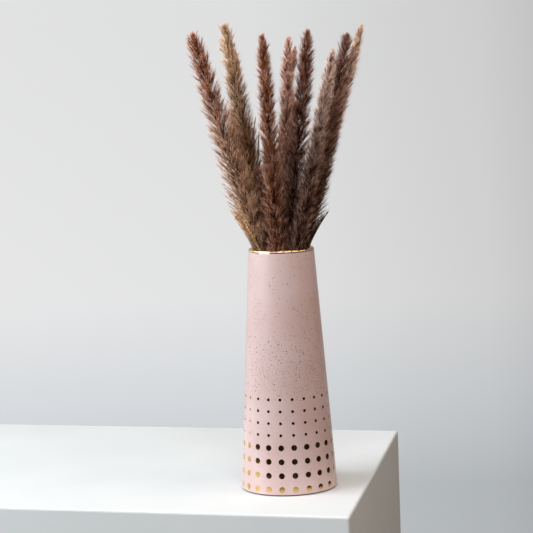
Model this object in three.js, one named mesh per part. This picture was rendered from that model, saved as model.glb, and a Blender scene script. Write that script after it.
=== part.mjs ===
// A tapered, glazed ceramic vase holding a loose bunch of dried reed grass.
// Millimetres, +Z up, origin at the centre of the vase's flat underside.
// The vase, every bare stalk and every feathery plume is a closed solid of its own.
import * as THREE from 'three';

// Vase: a hollow, straight-sided cone, open at the top.
const VASE_HEIGHT = 263;
const BASE_RADIUS = 52.5;
const RIM_RADIUS = 35.4;
const WALL = 4;
const FLOOR_THICKNESS = 6;
const FOOT_BEVEL = 2;
const LIP_RADIUS = WALL / 2;
const LIP_STEPS = 6;
const VASE_SIDES = 64;

// Stalks: thin straight culms that stand on the vase's floor and cross in a spiral,
// as a bunch does when it is turned in the hand, which leaves the middle free.
const STALK_RADIUS = 1.4;
const STALK_SIDES = 8;
const STALK_SPIRAL = THREE.MathUtils.degToRad(110);
const OUTER_FOOT_RADIUS = 37;
const INNER_FOOT_RADIUS = 28;
const INNER_MOUTH_RADIUS = 12;
const GAP = 0.4;

// Plumes: long spindles, fullest a little below the middle and narrow at the tip.
const PLUME_START = 251;
const PLUME_SIDES = 10;
const PLUME_RINGS = 12;
const PLUME_ROOT_ANGLE = 0.16 * Math.PI;
const PLUME_SWEEP = 0.8 * Math.PI;

// Each stem of the bunch: where its plume leaves the mouth, where its tip is, how thick the
// plume grows, how far it bows outwards on the way, and its dried colour.
const STEMS = [
  { mouth: [-21, -4], tip: [-87, -14, 497], girth: 10, bow: 0, colour: 0x6f5650 },
  { mouth: [-15, 11], tip: [-53, 24, 506], girth: 10, bow: 0, colour: 0x7d6a54 },
  { mouth: [-3, -21], tip: [-12, -42, 493], girth: 7.5, bow: 0, colour: 0x74503f },
  { mouth: [2, 7], tip: [16, 20, 490], girth: 8, bow: 0, colour: 0x8a6a60 },
  { mouth: [8, -8], tip: [37, -18, 496], girth: 9.5, bow: 0, colour: 0x5c463f },
  { mouth: [15, -18], tip: [62, -50, 476], girth: 8, bow: 0, colour: 0x7a645f },
  { mouth: [21, -2], tip: [79, -6, 491], girth: 10.5, bow: 2, colour: 0x5f4a44 },
  { mouth: [18, 9], tip: [97, 40, 501], girth: 8.5, bow: 1, colour: 0x86705f },
  { mouth: [-9, -4], tip: [-19, -9, 352], girth: 8, bow: 0, colour: 0x6a524a },
  { mouth: [4, 21], tip: [18, 68, 430], girth: 9, bow: 2, colour: 0x76604f },
  { mouth: [-9, 20.5], tip: [-40, 61, 412], girth: 8.5, bow: 2, colour: 0x6f5a52 },
  { mouth: [13, 17], tip: [60, 64, 424], girth: 8.5, bow: 2, colour: 0x7b675c },
];

const vaseMaterial = new THREE.MeshStandardMaterial({
  color: 0xe3cbc9, roughness: 0.22, metalness: 0,
});
const stalkMaterial = new THREE.MeshStandardMaterial({
  color: 0xa08a5e, roughness: 0.7, metalness: 0,
});

function outerRadiusAt(height) {
  return THREE.MathUtils.mapLinear(height, 0, VASE_HEIGHT, BASE_RADIUS, RIM_RADIUS);
}

// The vase is turned from one closed profile: flat underside, bevelled foot, straight
// outside wall, rounded lip, straight inside wall and flat inner floor.
function vaseGeometry() {
  const lipCentre = new THREE.Vector2(
    outerRadiusAt(VASE_HEIGHT - LIP_RADIUS) - LIP_RADIUS,
    VASE_HEIGHT - LIP_RADIUS,
  );
  const profile = [
    new THREE.Vector2(0, 0),
    new THREE.Vector2(BASE_RADIUS - FOOT_BEVEL, 0),
    new THREE.Vector2(outerRadiusAt(FOOT_BEVEL), FOOT_BEVEL),
  ];
  for (let step = 0; step <= LIP_STEPS; step++) {
    const turn = (Math.PI * step) / LIP_STEPS;
    profile.push(new THREE.Vector2(
      lipCentre.x + LIP_RADIUS * Math.cos(turn),
      lipCentre.y + LIP_RADIUS * Math.sin(turn),
    ));
  }
  profile.push(new THREE.Vector2(outerRadiusAt(FLOOR_THICKNESS) - WALL, FLOOR_THICKNESS));
  profile.push(new THREE.Vector2(0, FLOOR_THICKNESS));
  return new THREE.LatheGeometry(profile, VASE_SIDES).rotateX(Math.PI / 2);
}

// A stalk's foot lies round the vase from its mouth by the spiral's angle. Stems near the
// wall of the mouth stand near the wall of the floor, and inner ones stand further in.
function stalkFoot(mouth) {
  const inner = mouth.length() < INNER_MOUTH_RADIUS;
  const footRadius = inner ? INNER_FOOT_RADIUS : OUTER_FOOT_RADIUS;
  const foot = mouth.clone().setLength(footRadius).rotateAround(new THREE.Vector2(), STALK_SPIRAL);
  return new THREE.Vector3(foot.x, foot.y, FLOOR_THICKNESS + GAP);
}

// A stalk is a round section extruded along a straight line. Its upper end stops just short
// of the plume that grows from it.
function stalkGeometry(foot, top) {
  const section = new THREE.Shape();
  for (let side = 0; side < STALK_SIDES; side++) {
    const turn = (2 * Math.PI * side) / STALK_SIDES;
    const x = STALK_RADIUS * Math.cos(turn);
    const y = STALK_RADIUS * Math.sin(turn);
    if (side === 0) section.moveTo(x, y);
    else section.lineTo(x, y);
  }
  const direction = top.clone().sub(foot).normalize();
  const lean = STALK_RADIUS * Math.sqrt(1 - direction.z ** 2);
  const path = new THREE.LineCurve3(
    foot.clone().addScaledVector(direction, lean),
    top.clone().addScaledVector(direction, -lean - GAP),
  );
  return new THREE.ExtrudeGeometry(section, { steps: 2, extrudePath: path });
}

// A plume is a turned spindle whose rings are then moved along its own curve.
function plumeGeometry(curve, girth) {
  const profile = [new THREE.Vector2(0, 0)];
  for (let ring = 0; ring <= PLUME_RINGS; ring++) {
    const along = ring / PLUME_RINGS;
    const radius = girth * Math.sin(PLUME_ROOT_ANGLE + PLUME_SWEEP * along);
    profile.push(new THREE.Vector2(radius, along));
  }
  profile.push(new THREE.Vector2(0, 1));
  const spindle = new THREE.LatheGeometry(profile, PLUME_SIDES).rotateX(Math.PI / 2);
  const position = spindle.attributes.position;
  const point = new THREE.Vector3();
  for (let index = 0; index < position.count; index++) {
    curve.getPoint(THREE.MathUtils.clamp(position.getZ(index), 0, 1), point);
    position.setXYZ(index, point.x + position.getX(index), point.y + position.getY(index), point.z);
  }
  spindle.computeVertexNormals();
  return spindle;
}

function plumeCurve(stem) {
  const start = new THREE.Vector3(stem.mouth[0], stem.mouth[1], PLUME_START);
  const tip = new THREE.Vector3(...stem.tip);
  const outwards = new THREE.Vector3(tip.x - start.x, tip.y - start.y, 0).normalize();
  const bend = start.clone().lerp(tip, 0.5).addScaledVector(outwards, stem.bow);
  return new THREE.QuadraticBezierCurve3(start, bend, tip);
}

const arrangement = new THREE.Group();

const vase = new THREE.Mesh(vaseGeometry(), vaseMaterial);
vase.name = 'vase';
arrangement.add(vase);

STEMS.forEach((stem, index) => {
  const number = String(index + 1).padStart(2, '0');
  const curve = plumeCurve(stem);

  const foot = stalkFoot(new THREE.Vector2(...stem.mouth));
  const stalk = new THREE.Mesh(stalkGeometry(foot, curve.v0), stalkMaterial);
  stalk.name = `stalk_${number}`;
  arrangement.add(stalk);

  const plumeMaterial = new THREE.MeshStandardMaterial({
    color: stem.colour, roughness: 0.9, metalness: 0,
  });
  const plume = new THREE.Mesh(plumeGeometry(curve, stem.girth), plumeMaterial);
  plume.name = `plume_${number}`;
  arrangement.add(plume);
});

export default arrangement;
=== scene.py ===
from math import cos, pi, radians, sin

import bmesh
import bpy
import numpy as np
from mathutils import Matrix, Vector


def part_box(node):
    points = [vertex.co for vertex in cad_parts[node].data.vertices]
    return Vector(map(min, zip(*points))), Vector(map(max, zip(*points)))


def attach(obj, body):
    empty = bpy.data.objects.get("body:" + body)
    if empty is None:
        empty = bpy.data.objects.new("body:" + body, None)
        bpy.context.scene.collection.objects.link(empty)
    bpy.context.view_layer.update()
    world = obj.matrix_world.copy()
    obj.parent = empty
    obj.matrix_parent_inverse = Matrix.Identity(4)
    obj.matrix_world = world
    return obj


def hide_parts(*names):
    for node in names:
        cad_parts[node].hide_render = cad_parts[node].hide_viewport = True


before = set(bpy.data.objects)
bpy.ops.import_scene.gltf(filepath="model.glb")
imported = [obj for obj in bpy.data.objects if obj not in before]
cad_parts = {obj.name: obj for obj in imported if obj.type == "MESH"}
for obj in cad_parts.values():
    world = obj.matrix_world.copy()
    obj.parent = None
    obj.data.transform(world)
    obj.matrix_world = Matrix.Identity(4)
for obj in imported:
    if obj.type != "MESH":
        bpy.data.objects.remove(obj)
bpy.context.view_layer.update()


# The camera stands about two metres off, a little below the tops of the plumes, and looks down
# slightly, with the small tilt that leans the vase to the left.
CAMERA_DISTANCE = 2.063
CAMERA_HEIGHT = 0.485
CAMERA_PITCH = radians(-6.7)
CAMERA_YAW = radians(0.46)
CAMERA_ROLL = radians(-2.11)
CAMERA_LENS_MM = 129.5

camera_data = bpy.data.cameras.new("camera")
camera_data.lens = CAMERA_LENS_MM
camera_data.sensor_width = 36
camera = bpy.data.objects.new("camera", camera_data)
camera.matrix_world = (
    Matrix.Translation((0, -CAMERA_DISTANCE, CAMERA_HEIGHT))
    @ Matrix.Rotation(CAMERA_YAW, 4, "Z")
    @ Matrix.Rotation(radians(90) + CAMERA_PITCH, 4, "X")
    @ Matrix.Rotation(CAMERA_ROLL, 4, "Z")
)
bpy.context.scene.collection.objects.link(camera)
bpy.context.scene.camera = camera


# The vase stands near the front corner of a white-painted plinth, a plain block of filled board
# with slightly worn edges, turned a little away from the camera and not quite square at the back.
PLINTH_CORNER = (0.060, -0.150, 0)
PLINTH_TURN = radians(-14.5)
PLINTH_WIDTH = 0.95
PLINTH_DEPTH = 0.43
PLINTH_HEIGHT = 0.55
PLINTH_EDGE = 0.0025
PLINTH_SKEW = 0.032
PAINT_SHADE = (0.76, 0.785, 0.80)
PAINT_PALE = (0.82, 0.845, 0.86)
TOUCHING = 1e-4


def new_material(name):
    material = bpy.data.materials.new(name)
    material.use_nodes = True
    return material, material.node_tree, material.node_tree.nodes["Principled BSDF"]


def feed(node, inputs):
    """Gives each named input a plain value, or links it to the output that feeds it."""
    for name, value in inputs.items():
        if isinstance(value, bpy.types.NodeSocket):
            node.id_data.links.new(value, node.inputs[name])
        else:
            node.inputs[name].default_value = value


def add_node(tree, kind, inputs=None, **settings):
    node = tree.nodes.new(kind)
    for key, value in settings.items():
        setattr(node, key, value)
    feed(node, inputs or {})
    return node


def colour_ramp(tree, factor, stops):
    """Colours along a 0 to 1 factor; each stop is a place and a linear colour."""
    ramp = add_node(tree, "ShaderNodeValToRGB", {"Fac": factor})
    while len(ramp.color_ramp.elements) < len(stops):
        ramp.color_ramp.elements.new(0.5)
    for element, (place, colour) in zip(ramp.color_ramp.elements, stops):
        element.position = place
        element.color = (*colour, 1)
    return ramp.outputs["Color"]


def deselect_all():
    bpy.ops.object.select_all(action="DESELECT")


def edit(piece, domain):
    """Opens the piece in edit mode with nothing selected, and returns its mesh for picking."""
    deselect_all()
    piece.select_set(True)
    bpy.context.view_layer.objects.active = piece
    bpy.ops.object.mode_set(mode="EDIT")
    bpy.ops.mesh.select_mode(type=domain)
    bpy.ops.mesh.select_all(action="DESELECT")
    return bmesh.from_edit_mesh(piece.data)


def pick(piece, elements, wanted):
    for element in elements:
        if wanted(element):
            element.select_set(True)
    bmesh.update_edit_mesh(piece.data)


def leave_edit():
    bpy.ops.object.mode_set(mode="OBJECT")


def paint_material():
    material, tree, surface = new_material("matt_white_paint")
    place = add_node(tree, "ShaderNodeTexCoord").outputs["Object"]
    mottle = add_node(tree, "ShaderNodeTexNoise", {"Vector": place, "Scale": 6, "Detail": 4})
    colour = colour_ramp(tree, mottle.outputs["Fac"], [(0.3, PAINT_SHADE), (0.7, PAINT_PALE)])
    feed(surface, {"Base Color": colour, "Roughness": 0.7})
    return material


deselect_all()
bpy.ops.mesh.primitive_cube_add(
    size=1, location=(-PLINTH_WIDTH / 2, PLINTH_DEPTH / 2, -PLINTH_HEIGHT / 2),
    scale=(PLINTH_WIDTH, PLINTH_DEPTH, PLINTH_HEIGHT),
)
plinth = bpy.context.object
plinth.name = "plinth"
bpy.ops.object.transform_apply(location=True, rotation=True, scale=True)
block = edit(plinth, "VERT")
pick(plinth, block.verts, lambda corner: corner.co.x > -TOUCHING and corner.co.y > TOUCHING)
bpy.ops.transform.translate(value=(-PLINTH_SKEW, 0, 0))
leave_edit()
plinth.matrix_world = Matrix.Translation(PLINTH_CORNER) @ Matrix.Rotation(PLINTH_TURN, 4, "Z")
bpy.ops.object.transform_apply(location=True, rotation=True, scale=True)
edge_round = plinth.modifiers.new("edge_round", "BEVEL")
edge_round.width = PLINTH_EDGE
edge_round.segments = 3
plinth.data.materials.append(paint_material())


# Soft daylight comes from a wide window high at the left and from the pale ceiling. The wall seen
# behind carries painted shade, pale at the left and darker low down and to the right. Out of
# sight the wall gives back some of the light, and the room in front of the vase is dim.
WALL_SHADE_ACROSS = [
    (0.0, (0.790, 0.792, 0.800)), (0.45, (0.765, 0.767, 0.772)), (0.72, (0.680, 0.680, 0.682)),
    (0.88, (0.640, 0.640, 0.640)), (1.0, (0.560, 0.560, 0.562)),
]
WALL_SHADE_DOWN = [
    (0.0, (0.690, 0.725, 0.745)), (0.10, (0.790, 0.825, 0.850)), (0.20, (0.870, 0.900, 0.925)),
    (0.40, (1.0, 1.0, 1.0)), (1.0, (0.96, 0.96, 0.96)),
]
WALL_HALF_WIDTH = 0.14
WALL_DOWN_FROM = -0.23
WALL_DOWN_TO = 0.01
ROOM_PALE = (0.52, 0.51, 0.50)
ROOM_DIM = (0.020, 0.014, 0.010)
PALE_SIDE = (-0.35, 1, 0)
DIM_UP_TO = 0.25
PALE_FROM = 0.9


def add_light(name, place, aim, width, height, power, colour=(1, 1, 1)):
    data = bpy.data.lights.new(name, "AREA")
    data.shape = "RECTANGLE"
    data.size = width
    data.size_y = height
    data.energy = power
    data.color = colour
    light = bpy.data.objects.new(name, data)
    aimed = (Vector(aim) - Vector(place)).to_track_quat("-Z", "Y").to_matrix().to_4x4()
    light.matrix_world = Matrix.Translation(place) @ aimed
    bpy.context.scene.collection.objects.link(light)


add_light("window", (-1.75, -0.55, 1.15), (0, 0, 0.25), 1.8, 1.1, 53, (0.92, 0.98, 1))
add_light("ceiling", (0.1, -0.2, 2.0), (0, 0, 0.1), 1.8, 1.6, 12, (1, 0.985, 0.97))
add_light("skylight", (0.1, -2.1, 1.75), (0, 0, 0.25), 1.5, 0.9, 22, (1, 0.97, 0.95))
add_light("warm_wall", (1.5, -0.7, 1.15), (0, 0, 0.25), 1.2, 0.8, 12, (1, 0.82, 0.66))

world = bpy.data.worlds.new("room")
bpy.context.scene.world = world
world.use_nodes = True
room = world.node_tree
room.nodes.clear()
gaze = add_node(room, "ShaderNodeTexCoord")


def map_range(tree, value, start, end, low=0, high=1):
    """A value's place between a start and an end, given as one between a low and a high."""
    node = add_node(
        tree, "ShaderNodeMapRange",
        {"Value": value, "From Min": start, "From Max": end, "To Min": low, "To Max": high},
    )
    return node.outputs["Result"]


def gaze_ramp(towards, start, end, stops):
    """A colour that runs through the stops as the gaze turns towards a direction."""
    share = add_node(
        room, "ShaderNodeVectorMath", {0: gaze.outputs["Generated"], 1: towards},
        operation="DOT_PRODUCT",
    )
    return colour_ramp(room, map_range(room, share.outputs["Value"], start, end), stops)


def backdrop(colour):
    return add_node(room, "ShaderNodeBackground", {"Color": colour}).outputs["Background"]


# The backdrop seen straight on is graded with painted shade: darker to the right and low down.
across = gaze_ramp((1, 0, 0), -WALL_HALF_WIDTH, WALL_HALF_WIDTH, WALL_SHADE_ACROSS)
down = gaze_ramp((0, 0, 1), WALL_DOWN_FROM, WALL_DOWN_TO, WALL_SHADE_DOWN)
wall = add_node(
    room, "ShaderNodeMix", {"Factor": 1, "A": across, "B": down},
    data_type="RGBA", blend_type="MULTIPLY",
)
light_given_back = gaze_ramp(PALE_SIDE, DIM_UP_TO, PALE_FROM, [(0, ROOM_DIM), (1, ROOM_PALE)])
ray = add_node(room, "ShaderNodeLightPath")
either = add_node(room, "ShaderNodeMixShader", {
    "Fac": ray.outputs["Is Camera Ray"], 1: backdrop(light_given_back),
    2: backdrop(wall.outputs["Result"]),
})
add_node(room, "ShaderNodeOutputWorld", {"Surface": either.outputs["Shader"]})
bpy.context.scene.view_settings.view_transform = "Standard"


# The vase's body is slip-cast stoneware: a straight-sided hollow cone with a rounded lip and a
# softened foot, dipped in blush glaze with fine brown specks. Its underside is left unglazed and
# coloured very dark, a painted contact shadow where the foot meets the plinth.
VASE_SIDES = 144
VASE_WALL = 0.004
VASE_FLOOR = 0.006
FOOT_BEVEL = 0.002
LIP_BEVEL = 0.00195
BASE_RADIUS = 0.0525
RIM_RADIUS = 0.0354
VASE_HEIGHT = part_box("vase")[1].z
BLUSH = (0.700, 0.510, 0.495)
BLUSH_PALE = (0.735, 0.555, 0.545)
BLUSH_WARM = (0.665, 0.465, 0.435)
SPECK_BROWN = (0.075, 0.030, 0.020)
# Bare clay, coloured very dark so that the foot's band is also a painted contact shadow.
BARE_CLAY_AND_SHADOW = (0.060, 0.035, 0.024)
GLAZE_EDGE = (0.0013, 0.0016)
NEAR = 1e-5

# The specks come in two sizes: cells to the metre, share of a cell that one fills, and strength.
SPECK_KINDS = [(470, 0.25, 0.9), (210, 0.155, 1.0)]
SPECK_CORE = 0.6

# They are thickest just above the dots, and thin out towards the lip and the foot: the share of
# the vase's height, and the share of the cells that hold a speck there.
SPECK_SPREAD = [(0, 0.05), (0.38, 0.10), (0.46, 0.95), (0.60, 0.72), (0.76, 0.25), (1, 0.10)]


def wall_radius(height):
    """The outer wall's radius at a height."""
    return BASE_RADIUS + (RIM_RADIUS - BASE_RADIUS) * height / VASE_HEIGHT


def maths(tree, operation, first, second):
    return add_node(tree, "ShaderNodeMath", {0: first, 1: second}, operation=operation).outputs["Value"]


def blend(tree, share, first, second):
    """A colour that turns from the first to the second by a share."""
    node = add_node(
        tree, "ShaderNodeMix", {"Factor": share, "A": first, "B": second}, data_type="RGBA"
    )
    return node.outputs["Result"]


def glaze_specks(tree, place, band, cells_per_metre, size, strength):
    """Round specks: near the points of a cell pattern, thinned out at random and by height."""
    cells = add_node(
        tree, "ShaderNodeTexVoronoi", {"Vector": place, "Scale": cells_per_metre, "Randomness": 1}
    )
    dot = map_range(tree, cells.outputs["Distance"], size, size * SPECK_CORE)
    chance = add_node(tree, "ShaderNodeSeparateColor", {"Color": cells.outputs["Color"]})
    kept = maths(tree, "LESS_THAN", chance.outputs["Red"], band)
    return maths(tree, "MULTIPLY", maths(tree, "MULTIPLY", dot, kept), strength)


def glaze_material():
    material, tree, surface = new_material("blush_glaze")
    place = add_node(tree, "ShaderNodeTexCoord").outputs["Object"]
    height = add_node(tree, "ShaderNodeSeparateXYZ", {"Vector": place}).outputs["Z"]

    pooling = add_node(
        tree, "ShaderNodeTexNoise", {"Vector": place, "Scale": 22, "Detail": 3, "Roughness": 0.55}
    )
    glaze = colour_ramp(
        tree, pooling.outputs["Fac"], [(0.30, BLUSH_WARM), (0.5, BLUSH), (0.72, BLUSH_PALE)]
    )

    share_of_height = maths(tree, "MULTIPLY", height, 1 / VASE_HEIGHT)
    spread = add_node(tree, "ShaderNodeFloatCurve", {"Value": share_of_height})
    curve = spread.mapping.curves[0]
    first, *between, last = SPECK_SPREAD
    curve.points[0].location = first
    curve.points[1].location = last
    for along, share in between:
        curve.points.new(along, share)
    spread.mapping.update()
    fine, coarse = [
        glaze_specks(tree, place, spread.outputs["Value"], *kind) for kind in SPECK_KINDS
    ]
    specks = maths(tree, "MAXIMUM", fine, coarse)
    speckled = blend(tree, specks, glaze, (*SPECK_BROWN, 1))

    # Bare clay shows under the foot, where the glaze was wiped off before firing; its very dark
    # colour is also a painted contact shadow.
    wiped_up_to, glazed_from = GLAZE_EDGE
    bare_and_shadowed = map_range(tree, height, glazed_from, wiped_up_to)
    ripple = add_node(tree, "ShaderNodeTexNoise", {"Vector": place, "Scale": 60, "Detail": 2})
    relief = add_node(
        tree, "ShaderNodeBump", {"Height": ripple.outputs["Fac"], "Strength": 0.05, "Distance": 0.002}
    )
    feed(surface, {
        "Base Color": blend(tree, bare_and_shadowed, speckled, (*BARE_CLAY_AND_SHADOW, 1)),
        "Roughness": map_range(tree, bare_and_shadowed, 0, 1, 0.36, 0.75),
        "Normal": relief.outputs["Normal"],
        "Coat Weight": 0.25,
        "Coat Roughness": 0.12,
    })
    return material


deselect_all()
bpy.ops.mesh.primitive_cone_add(
    vertices=VASE_SIDES, radius1=BASE_RADIUS, radius2=RIM_RADIUS, depth=VASE_HEIGHT,
    end_fill_type="NGON", location=(0, 0, VASE_HEIGHT / 2),
)
vase_body = bpy.context.object
vase_body.name = "vase_body"
bpy.ops.object.transform_apply(location=True, rotation=True, scale=True)
shape = edit(vase_body, "FACE")
pick(vase_body, shape.faces, lambda face: face.normal.z > 0.9)
bpy.ops.mesh.inset(thickness=VASE_WALL)
bpy.ops.mesh.extrude_region_move(
    TRANSFORM_OT_translate={"value": (0, 0, VASE_FLOOR - VASE_HEIGHT)}
)
inner_floor_scale = (wall_radius(VASE_FLOOR) - VASE_WALL) / (RIM_RADIUS - VASE_WALL)
bpy.ops.transform.resize(
    value=(inner_floor_scale, inner_floor_scale, 1), center_override=(0, 0, VASE_FLOOR)
)
leave_edit()
shape = edit(vase_body, "EDGE")
pick(vase_body, shape.edges, lambda edge: all(v.co.z > VASE_HEIGHT - NEAR for v in edge.verts)
     and abs(edge.verts[0].co.xy.length - edge.verts[1].co.xy.length) < TOUCHING)
bpy.ops.mesh.bevel(offset=LIP_BEVEL, offset_type="OFFSET", segments=6, profile=0.5)
leave_edit()
shape = edit(vase_body, "EDGE")
pick(vase_body, shape.edges, lambda edge: all(v.co.z < NEAR for v in edge.verts))
bpy.ops.mesh.bevel(offset=FOOT_BEVEL, offset_type="OFFSET", segments=5, profile=0.5)
bpy.ops.mesh.select_all(action="DESELECT")
leave_edit()
deselect_all()
vase_body.select_set(True)
bpy.ops.object.shade_smooth_by_angle(angle=radians(35))
vase_body.data.materials.append(glaze_material())
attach(vase_body, "root")
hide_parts("vase")


# The dots and the line on the lip are gold lustre: a metal film brushed or stamped on the glaze
# and fired again at a lower heat. It is a mirror, a little uneven where the film is thin.
DOT_COLUMNS = 22
DOT_TURN = radians(-9.0)
SMALL_DOT_RADIUS = 0.0016
LARGE_DOT_RADIUS = 0.0032
SMALL_DOT_ROWS = 4
LARGE_DOT_ROWS = 4
LOWEST_ROW = 0.0070
LARGE_ROW_PITCH = 0.0150
LARGE_TO_SMALL = 0.0135
SMALL_ROW_PITCH = 0.0128
LUSTRE_PROUD = 0.00010
LUSTRE_SUNK = 0.00015
DOT_EDGES = 18
GOLD = (0.80, 0.53, 0.20)
GOLD_DEEP = (0.62, 0.36, 0.11)


def new_group(name, inputs, outputs):
    """An effect that several materials share; its sockets are given as names and kinds."""
    group = bpy.data.node_groups.new(name, "ShaderNodeTree")
    for title, kind in inputs.items():
        group.interface.new_socket(title, in_out="INPUT", socket_type=kind)
    for title, kind in outputs.items():
        group.interface.new_socket(title, in_out="OUTPUT", socket_type=kind)
    return group, add_node(group, "NodeGroupInput").outputs, add_node(group, "NodeGroupOutput")


def lustre_film():
    """A gold film, uneven in depth and polish; waviness is how rippled the brush left it."""
    film, given, out = new_group(
        "lustre_film",
        {"Place": "NodeSocketVector", "Waviness": "NodeSocketFloat"},
        {"Colour": "NodeSocketColor", "Roughness": "NodeSocketFloat", "Normal": "NodeSocketVector"},
    )
    depth = add_node(
        film, "ShaderNodeTexNoise", {"Vector": given["Place"], "Scale": 90, "Detail": 3}
    ).outputs["Fac"]
    ripple = add_node(
        film, "ShaderNodeTexNoise", {"Vector": given["Place"], "Scale": 75, "Detail": 1}
    ).outputs["Fac"]
    relief = add_node(
        film, "ShaderNodeBump", {"Height": ripple, "Strength": given["Waviness"], "Distance": 0.004}
    )
    feed(out, {
        "Colour": colour_ramp(film, depth, [(0.3, GOLD_DEEP), (0.6, GOLD)]),
        "Roughness": map_range(film, depth, 0.3, 0.75, 0.09, 0.20),
        "Normal": relief.outputs["Normal"],
    })
    return film


gold_film = lustre_film()


def lustre_material(name, waviness):
    material, tree, surface = new_material(name)
    place = add_node(tree, "ShaderNodeTexCoord").outputs["Object"]
    film = add_node(
        tree, "ShaderNodeGroup", {"Place": place, "Waviness": waviness}, node_tree=gold_film
    )
    feed(surface, {
        "Base Color": film.outputs["Colour"],
        "Roughness": film.outputs["Roughness"],
        "Normal": film.outputs["Normal"],
        "Metallic": 1,
    })
    return material


def flat_dot():
    """One dot of unit radius, modelled as a flat closed film."""
    deselect_all()
    bpy.ops.mesh.primitive_circle_add(vertices=DOT_EDGES, radius=1, fill_type="NGON")
    dot = bpy.context.object
    edit(dot, "FACE")
    bpy.ops.mesh.select_all(action="SELECT")
    bpy.ops.mesh.extrude_region_move(TRANSFORM_OT_translate={"value": (0, 0, 1)})
    bpy.ops.mesh.select_all(action="SELECT")
    bpy.ops.mesh.normals_make_consistent(inside=False)
    leave_edit()
    return dot


def wrap_dot(template, radius, height, turn):
    """A copy of the flat dot, laid on the sloping wall at a height and a turn round the vase."""
    mesh = template.data.copy()
    for vertex in mesh.vertices:
        across, along, lift = vertex.co
        out = LUSTRE_PROUD if lift > 0.5 else -LUSTRE_SUNK
        z = height + along * radius
        reach = wall_radius(z) + out
        angle = turn + across * radius / wall_radius(height)
        vertex.co = (reach * sin(angle), -reach * cos(angle), z)
    dot = bpy.data.objects.new("dot", mesh)
    bpy.context.scene.collection.objects.link(dot)
    return dot


dot_rows = [(LOWEST_ROW + row * LARGE_ROW_PITCH, LARGE_DOT_RADIUS) for row in range(LARGE_DOT_ROWS)]
first_small_row = dot_rows[-1][0] + LARGE_TO_SMALL
dot_rows += [
    (first_small_row + row * SMALL_ROW_PITCH, SMALL_DOT_RADIUS) for row in range(SMALL_DOT_ROWS)
]
dot_template = flat_dot()
dots = [
    wrap_dot(dot_template, radius, height, DOT_TURN + column * 2 * pi / DOT_COLUMNS)
    for height, radius in dot_rows
    for column in range(DOT_COLUMNS)
]
bpy.data.objects.remove(dot_template)
deselect_all()
for dot in dots:
    dot.select_set(True)
gold_dots = dots[0]
bpy.context.view_layer.objects.active = gold_dots
bpy.ops.object.join()
gold_dots.name = "gold_dots"
bpy.ops.object.shade_smooth_by_angle(angle=radians(30))
gold_dots.data.materials.append(lustre_material("stamped_lustre", 0.02))
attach(gold_dots, "root")
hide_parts("vase")


# The lip's gold line is a ring of the same lustre, brushed on by hand over the rounded lip from its
# outer side to its inner side, so it is more rippled than the dots.
LIP_CENTRE = RIM_RADIUS - VASE_WALL / 2
LIP_FILM = VASE_WALL / 2 + LUSTRE_PROUD
LIP_CENTRE_HEIGHT = VASE_HEIGHT - VASE_WALL / 2
LINE_WIDTH = 0.0030
LINE_FOOT = VASE_HEIGHT - LINE_WIDTH

deselect_all()
bpy.ops.mesh.primitive_torus_add(
    major_radius=LIP_CENTRE, minor_radius=LIP_FILM, major_segments=VASE_SIDES, minor_segments=20,
    location=(0, 0, LIP_CENTRE_HEIGHT),
)
gold_rim = bpy.context.object
gold_rim.name = "gold_rim"
bpy.ops.object.transform_apply(location=True, rotation=True, scale=True)
edit(gold_rim, "FACE")
bpy.ops.mesh.select_all(action="SELECT")
bpy.ops.mesh.bisect(
    plane_co=(0, 0, LIP_CENTRE_HEIGHT), plane_no=(0, 0, 1), clear_inner=True, use_fill=False
)
leave_edit()
shape = edit(gold_rim, "EDGE")
pick(gold_rim, shape.edges, lambda edge: edge.is_boundary)
bpy.ops.mesh.extrude_edges_move(
    TRANSFORM_OT_translate={"value": (0, 0, LINE_FOOT - LIP_CENTRE_HEIGHT)}
)
line_foot_scale = (wall_radius(LINE_FOOT) + LUSTRE_PROUD) / (LIP_CENTRE + LIP_FILM)
bpy.ops.transform.resize(
    value=(line_foot_scale, line_foot_scale, 1), center_override=(0, 0, LINE_FOOT)
)
bpy.ops.mesh.bridge_edge_loops()
bpy.ops.mesh.select_all(action="SELECT")
bpy.ops.mesh.normals_make_consistent(inside=False)
leave_edit()
bpy.ops.object.shade_smooth_by_angle(angle=radians(40))
gold_rim.data.materials.append(lustre_material("brushed_lustre", 0.8))
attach(gold_rim, "root")
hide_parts("vase")


# The stalks are dried hollow culms, straw-coloured and faintly ribbed along their length. They
# stand loose on the vase's floor and lean on its lip, mostly out of sight.
STRAW = (0.46, 0.33, 0.15)
STRAW_DARK = (0.24, 0.15, 0.07)


def straw_material():
    material, tree, surface = new_material("dry_straw")
    place = add_node(tree, "ShaderNodeTexCoord").outputs["Object"]
    drawn_out = add_node(tree, "ShaderNodeMapping", {"Vector": place, "Scale": (1, 1, 0.06)})
    fibres = add_node(
        tree, "ShaderNodeTexNoise",
        {"Vector": drawn_out.outputs["Vector"], "Scale": 1400, "Detail": 2},
    ).outputs["Fac"]
    ribs = add_node(tree, "ShaderNodeBump", {"Height": fibres, "Strength": 0.3, "Distance": 0.0003})
    feed(surface, {
        "Base Color": colour_ramp(tree, fibres, [(0.35, STRAW_DARK), (0.65, STRAW)]),
        "Roughness": 0.62,
        "Normal": ribs.outputs["Normal"],
    })
    return material


dry_straw = straw_material()
stem_count = sum(name.startswith("stalk_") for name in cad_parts)
for number in range(1, stem_count + 1):
    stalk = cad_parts[f"stalk_{number:02d}"]
    stalk.data.materials.clear()
    stalk.data.materials.append(dry_straw)


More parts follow.
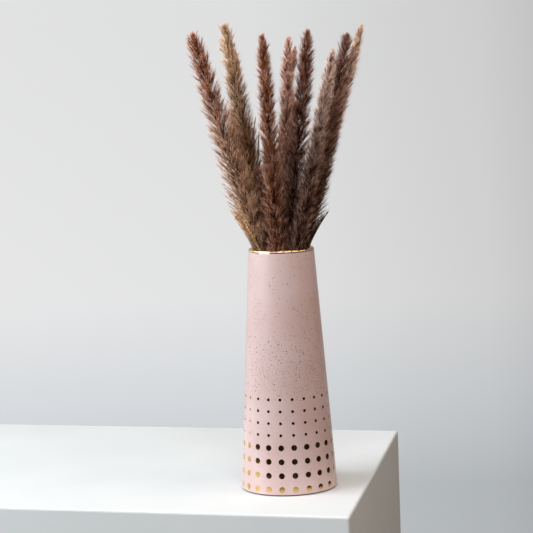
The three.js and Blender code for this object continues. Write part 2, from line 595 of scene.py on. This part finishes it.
# A plume is the reed's dried flower head: a fine rachis with hundreds of branchlets swept up
# along it, each a tuft of silky hairs. The hairs are dark at the root and pale at the tip, partly
# their own colour, partly painted shade inside the plume and painted highlight on its outer tips.
TUFTS_PER_METRE = 3000
TUFTS_START_BELOW = 0.004
BARE_TOP = 0.001
SHORTEST = 0.001
GOLDEN_TURN = pi * (3 - 5 ** 0.5)
TURN_STRAY = 0.35

# How far the branchlets reach out: the plume is blunt at its tip and swells towards its foot.
BLUNT_TOP = 0.006
TIP_ROUNDING = 0.011
TIP_FULLNESS = 0.82
SWELL_LENGTH = 0.080
LOW_SWELL = 0.42

# A branchlet tilts away from the rachis, less so near the plume's tip, and carries its hairs.
TUFT_TILT = (0.42, 0.74)
TIP_CLOSING = 0.032
TIP_TILT_SHARE = 0.24
TIP_MARGIN = 0.0015
TIP_RAGGEDNESS = (0.70, 1.08)
BRANCHLET_SHARE = 0.70
BRANCHLET_VIGOUR = (0.62, 1.25)
BRANCHLET_THICKNESS = 0.0006
BRANCHLET_SHADE = [0.0, 0.3]

# The hairs stand all along a branchlet, and are longest and palest at its end; the darker inner
# hairs are painted shade in the plume's core.
HAIRS_PER_TUFT = 23
FIRST_HAIR = 0.15
HAIR_PLACE_STRAY = 0.05
HAIR_SPREAD = 0.24
HAIR_SWEEP = 0.12
HAIR_LENGTH = 0.0088
HAIR_VIGOUR = (0.6, 1.25)
INNER_HAIR_SHARE = 0.75
OUTER_HAIR_GAIN = 0.35
SHORTEST_HAIR_SHARE = 0.45
SLIGHT_REACH = 0.008
HAIR_THICKNESS = 0.00034
HAIR_THICKNESS_RANGE = (0.75, 1.25)
HAIR_ROOT_SHADE = 0.25
HAIR_TIP_SHADE = 0.38

# The map's width is the place along the plume, and its height runs from a dark root to a pale tip.
MAP_NAME = "OFBake"
MAP_ENDS = (0.01, 0.99)
HAIR_MAP_WIDTH = 0.0012
TUFT_MAP_STRAY = 0.03
HAIR_MAP_STRAY = 0.0006

# Each plume's own look, in the order of the plumes' numbers: how full it is, and the middle colour
# of its hairs low down and near its tip. The dark roots and pale tips follow from that colour.
PLUME_LOOKS = [
    (1.38, (0.800, 0.450, 0.270), (0.560, 0.205, 0.105)),
    (1.18, (0.340, 0.150, 0.062), (0.900, 0.560, 0.320)),
    (1.18, (0.310, 0.105, 0.048), (0.430, 0.125, 0.045)),
    (1.02, (0.360, 0.150, 0.105), (0.900, 0.490, 0.370)),
    (1.10, (0.150, 0.050, 0.031), (0.290, 0.080, 0.040)),
    (1.02, (0.180, 0.076, 0.050), (0.950, 0.660, 0.560)),
    (1.12, (0.165, 0.056, 0.032), (0.320, 0.125, 0.082)),
    (0.90, (0.230, 0.108, 0.074), (0.920, 0.610, 0.460)),
    (1.30, (0.240, 0.082, 0.052), (0.240, 0.082, 0.052)),
    (1.25, (0.220, 0.092, 0.060), (0.240, 0.100, 0.066)),
    (1.25, (0.950, 0.600, 0.290), (0.760, 0.400, 0.240)),
    (1.25, (0.130, 0.056, 0.038), (0.160, 0.070, 0.048)),
]
# The roots' dark colour is partly the hairs' own and partly painted shade deep in the plume; the pale
# tip colour is partly their own and partly a painted highlight on the plume's outer hairs.
ROOT_AND_SHADE_SHARE = (0.10, 0.055, 0.035)
PALE_TIP_AND_HIGHLIGHT = (0.82, 0.59, 0.46)
TIP_PALING = 0.56
ROOT_UP_TO = 0.12
MIDDLE_AT = 0.55
LOW_COLOUR_UP_TO = 0.35
TOP_COLOUR_FROM = 0.8
TUFTS_ACROSS_MAP = 420
NOISE_RANGE = (0.3, 0.7)
TUFT_DIFFERENCE = 0.47


def hair_colours(middle):
    """A hair's dark root, partly painted shade, its middle, and its pale tip, partly a painted
    highlight.
    """
    root = [part * share for part, share in zip(middle, ROOT_AND_SHADE_SHARE)]
    tip = [
        part + (pale_part - part) * TIP_PALING for part, pale_part in zip(middle, PALE_TIP_AND_HIGHLIGHT)
    ]
    return root, middle, tip


def hair_shading():
    """Root to tip by the map's height, low to top by its width, with tufts that differ."""
    stages = ("Root", "Middle", "Tip")
    colours = {f"{part} {stage}": "NodeSocketColor" for part in ("Low", "Top") for stage in stages}
    shading, given, out = new_group(
        "hair_shading", {"Map": "NodeSocketVector", **colours}, {"Colour": "NodeSocketColor"}
    )
    split = add_node(shading, "ShaderNodeSeparateXYZ", {"Vector": given["Map"]})
    along, outward = split.outputs["X"], split.outputs["Y"]
    differing = add_node(
        shading, "ShaderNodeTexNoise",
        {"W": maths(shading, "MULTIPLY", along, TUFTS_ACROSS_MAP), "Scale": 1, "Detail": 2},
        noise_dimensions="1D",
    )
    offset = map_range(
        shading, differing.outputs["Fac"], *NOISE_RANGE, -TUFT_DIFFERENCE, TUFT_DIFFERENCE
    )
    tone = maths(shading, "ADD", outward, offset)
    off_root = map_range(shading, tone, ROOT_UP_TO, MIDDLE_AT)
    to_tip = map_range(shading, tone, MIDDLE_AT, 1)
    low, top = [
        blend(shading, to_tip,
              blend(shading, off_root, given[f"{part} Root"], given[f"{part} Middle"]),
              given[f"{part} Tip"])
        for part in ("Low", "Top")
    ]
    climb = map_range(shading, along, LOW_COLOUR_UP_TO, TOP_COLOUR_FROM)
    feed(out, {"Colour": blend(shading, climb, low, top)})
    return shading


plume_shading = hair_shading()


def plume_material(name, low_middle, top_middle):
    material, tree, surface = new_material(name)
    spot = add_node(tree, "ShaderNodeUVMap", uv_map=MAP_NAME)
    colours = {
        f"{part} {stage}": (*colour, 1)
        for part, middle in (("Low", low_middle), ("Top", top_middle))
        for stage, colour in zip(("Root", "Middle", "Tip"), hair_colours(middle))
    }
    hair = add_node(
        tree, "ShaderNodeGroup", {"Map": spot.outputs["UV"], **colours}, node_tree=plume_shading
    )
    feed(surface, {
        "Base Color": hair.outputs["Colour"], "Roughness": 0.7, "Specular IOR Level": 0,
    })
    return material


def hair_template():
    """One hair, modelled upright and a unit tall: a slender closed three-sided spike."""
    deselect_all()
    bpy.ops.mesh.primitive_cone_add(
        vertices=3, radius1=0.5, radius2=0, depth=1, end_fill_type="NGON", location=(0, 0, 0.5)
    )
    hair = bpy.context.object
    bpy.ops.object.transform_apply(location=True, rotation=True, scale=True)
    points = np.array([vertex.co for vertex in hair.data.vertices])
    faces = [tuple(polygon.vertices) for polygon in hair.data.polygons]
    bpy.data.objects.remove(hair)
    return points, faces


hair_points, hair_faces = hair_template()


def plume_axis(node):
    """The plume's own curve and girth, from the rings of its plain solid."""
    corners = np.array([vertex.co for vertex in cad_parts[node].data.vertices], float)
    height_of = np.round(corners[:, 2], 5)
    levels = np.unique(height_of)
    centres = np.array([corners[height_of == level].mean(0) for level in levels])
    spread = [
        np.linalg.norm(corners[height_of == level] - centre, axis=1).max()
        for level, centre in zip(levels, centres)
    ]
    return (
        np.polyfit(centres[:, 2], centres[:, 0], 2),
        np.polyfit(centres[:, 2], centres[:, 1], 2),
        levels[0], levels[-1], max(spread),
    )


def unit(vectors):
    return vectors / np.linalg.norm(vectors, axis=-1, keepdims=True)


def place_hairs(roots, directions, lengths, thickness, tones, outward):
    """Copies the hair to every root, along its direction."""
    helper = np.where(np.abs(directions[:, :1]) < 0.8, [[1.0, 0, 0]], [[0, 1.0, 0]])
    side = unit(np.cross(directions, helper))
    other = np.cross(directions, side)
    x, y, z = hair_points.T
    points = (
        roots[:, None]
        + (side[:, None] * x[None, :, None] + other[:, None] * y[None, :, None])
        * thickness[:, None, None]
        + directions[:, None] * (z[None, :, None] * lengths[:, None, None])
    )
    map_u = tones[:, None] + x[None] * HAIR_MAP_WIDTH
    map_v = outward[:, :1] + (outward[:, 1:] - outward[:, :1]) * z[None]
    return points, np.stack([map_u, map_v], -1)


def mesh_from_hairs(name, points, spots):
    """One mesh of many separate closed hairs, with their map."""
    count, corners = points.shape[:2]
    faces = [tuple(first + i for i in face) for first in range(0, count * corners, corners)
             for face in hair_faces]
    mesh = bpy.data.meshes.new(name)
    mesh.from_pydata(points.reshape(-1, 3).tolist(), [], faces)
    layer = mesh.uv_layers.new(name=MAP_NAME)
    corner_of = np.zeros(len(mesh.loops), np.int32)
    mesh.loops.foreach_get("vertex_index", corner_of)
    layer.data.foreach_set("uv", spots.reshape(-1, 2)[corner_of].ravel())
    mesh.polygons.foreach_set("use_smooth", [True] * len(mesh.polygons))
    mesh.update()
    return mesh


def reach_below_tip(left, reach):
    """How far the plume reaches out where it still has so much of its length above."""
    swelling = TIP_FULLNESS + (1 - TIP_FULLNESS) * np.clip(left / SWELL_LENGTH, 0, 1)
    swelling = swelling + LOW_SWELL * np.clip(left / SWELL_LENGTH - 1, 0, 1)
    return reach * (1 - np.exp(-left / TIP_ROUNDING)) * swelling


def grow_hairs(curve_x, curve_y, low, high, reach, random, tones=(0, 1)):
    """The hairs of one spray along a rising curve, with their map; tones is its map's range."""
    length = high - low
    tuft_count = int(length * TUFTS_PER_METRE)
    order = np.arange(tuft_count)
    climb = (order + random.uniform(0, 1, tuft_count)) / tuft_count
    heights = low - TUFTS_START_BELOW + (length - BARE_TOP) * climb
    lean_x = np.polyval(np.polyder(curve_x), heights)
    lean_y = np.polyval(np.polyder(curve_y), heights)
    axis = unit(np.stack([lean_x, lean_y, np.ones(tuft_count)], -1))
    centre = np.stack([np.polyval(curve_x, heights), np.polyval(curve_y, heights), heights], -1)
    turn = order * GOLDEN_TURN + random.normal(0, TURN_STRAY, tuft_count)
    side = unit(np.cross(axis, [[0.0, 1.0, 0.0]]))
    other = np.cross(axis, side)
    outwards = side * np.cos(turn)[:, None] + other * np.sin(turn)[:, None]

    radius = reach_below_tip(np.clip(high - heights - BLUNT_TOP, SHORTEST, None), reach)
    closing = TIP_TILT_SHARE + (1 - TIP_TILT_SHARE) * np.clip((high - heights) / TIP_CLOSING, 0, 1)
    tilt = random.uniform(*TUFT_TILT, tuft_count) * closing
    vigour = random.uniform(*BRANCHLET_VIGOUR, tuft_count)
    tuft_axis = unit(axis * np.cos(tilt)[:, None] + outwards * np.sin(tilt)[:, None])
    ragged = random.uniform(*TIP_RAGGEDNESS, tuft_count)
    room_left = np.clip((high - heights) * ragged - TIP_MARGIN, SHORTEST, None) / np.cos(tilt)
    tuft_length = np.minimum(BRANCHLET_SHARE * radius * vigour / np.sin(tilt), room_left)
    share = (heights - low) / length + random.normal(0, TUFT_MAP_STRAY, tuft_count)
    tuft_tone = tones[0] + (tones[1] - tones[0]) * np.clip(share, *MAP_ENDS)
    branchlets = place_hairs(
        centre, tuft_axis, tuft_length, np.full(tuft_count, BRANCHLET_THICKNESS), tuft_tone,
        np.tile(BRANCHLET_SHADE, (tuft_count, 1)),
    )

    each = np.repeat(np.arange(tuft_count), HAIRS_PER_TUFT)
    total = len(each)
    station = np.tile(np.linspace(FIRST_HAIR, 1, HAIRS_PER_TUFT), tuft_count)
    station = np.clip(station + random.uniform(-HAIR_PLACE_STRAY, HAIR_PLACE_STRAY, total), 0, 1)
    roots = centre[each] + tuft_axis[each] * (tuft_length[each] * station)[:, None]
    spread = random.normal(0, HAIR_SPREAD, (total, 3))
    hair_axis = unit(tuft_axis[each] + spread + axis[each] * HAIR_SWEEP)
    size = np.clip(radius[each] / reach, SHORTEST_HAIR_SHARE, 1) * min(1, reach / SLIGHT_REACH)
    lengths = HAIR_LENGTH * size * random.uniform(*HAIR_VIGOUR, total)
    lengths = lengths * (INNER_HAIR_SHARE + OUTER_HAIR_GAIN * station)
    thickness = HAIR_THICKNESS * random.uniform(*HAIR_THICKNESS_RANGE, total)
    tone = np.clip(tuft_tone[each] + random.normal(0, HAIR_MAP_STRAY, total), *MAP_ENDS)
    # Hairs nearer the rachis take darker map heights, as painted shade in the plume's core.
    shade = np.stack([
        HAIR_ROOT_SHADE * station, HAIR_TIP_SHADE + (1 - HAIR_TIP_SHADE) * station
    ], -1)
    hairs = place_hairs(roots, hair_axis, lengths, thickness, tone, shade)
    return [np.concatenate(both) for both in zip(branchlets, hairs)]


# Inside the mouth the lip presses the hairs together, and over it they spread again.
MOUTH_CLEARANCE = 0.0006
MOUTH_FLARE = 0.45
MOUTH_SPREAD = 4.0


def press_at_mouth(points):
    mouth = RIM_RADIUS - VASE_WALL - MOUTH_CLEARANCE
    above = np.clip(points[..., 2] - VASE_HEIGHT, 0, None)
    free = mouth + above * MOUTH_FLARE + above ** 2 * MOUTH_SPREAD
    off_axis = np.hypot(points[..., 0], points[..., 1])
    points[..., :2] *= np.minimum(1, free / np.maximum(off_axis, NEAR))[..., None]


# Some plumes carry a smaller side spray: its foot, its tip and its reach, by the plume's number.
SIDE_SPRAYS = {
    1: [((-0.072, -0.014, 0.455), (-0.0790, -0.016, 0.4880), 0.0050)],
    2: [
        ((-0.040, 0.018, 0.455), (-0.0425, 0.016, 0.480), 0.0050),
        ((-0.027, 0.012, 0.380), (-0.0215, 0.010, 0.409), 0.0020),
        ((-0.021, 0.010, 0.366), (-0.0190, 0.010, 0.393), 0.0018),
    ],
    3: [((-0.004, 0.006, 0.262), (-0.0110, 0.014, 0.380), 0.0100)],
    4: [
        ((0.020, 0.018, 0.455), (0.0235, 0.018, 0.481), 0.0058),
        ((0.004, 0.006, 0.300), (0.0050, 0.012, 0.398), 0.0070),
    ],
    11: [
        ((-0.020, 0.004, 0.262), (-0.0500, 0.028, 0.412), 0.0125),
        ((-0.026, -0.005, 0.272), (-0.0510, -0.010, 0.307), 0.0078),
        ((-0.0245, -0.022, 0.262), (-0.0465, -0.028, 0.322), 0.0022),
    ],
    12: [
        ((0.026, -0.006, 0.262), (0.0550, -0.012, 0.303), 0.0085),
        ((0.026, -0.016, 0.258), (0.0500, -0.020, 0.292), 0.0070),
    ],
}


def grow_plume(number, fullness):
    """The plume's hairs as one mesh object: its main spray and any side sprays."""
    node = f"plume_{number:02d}"
    random = np.random.default_rng(number)
    curve_x, curve_y, low, high, girth = plume_axis(node)
    sprays = [grow_hairs(curve_x, curve_y, low, high, girth * fullness, random)]
    for foot, tip, reach in SIDE_SPRAYS.get(number, []):
        line_x = np.polyfit([foot[2], tip[2]], [foot[0], tip[0]], 1)
        line_y = np.polyfit([foot[2], tip[2]], [foot[1], tip[1]], 1)
        tones = np.clip([(end[2] - low) / (high - low) for end in (foot, tip)], *MAP_ENDS)
        sprays.append(grow_hairs(line_x, line_y, foot[2], tip[2], reach, random, tones))
    points, spots = [np.concatenate(both) for both in zip(*sprays)]
    press_at_mouth(points)
    plume = bpy.data.objects.new(f"plume_hair_{number:02d}", mesh_from_hairs(node, points, spots))
    bpy.context.scene.collection.objects.link(plume)
    return plume


for number, look in enumerate(PLUME_LOOKS, start=1):
    fullness, low_middle, top_middle = look
    plume = grow_plume(number, fullness)
    hair_look = plume_material(f"dried_plume_{number:02d}", low_middle, top_middle)
    plume.data.materials.append(hair_look)
    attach(plume, "root")
    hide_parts(f"plume_{number:02d}")
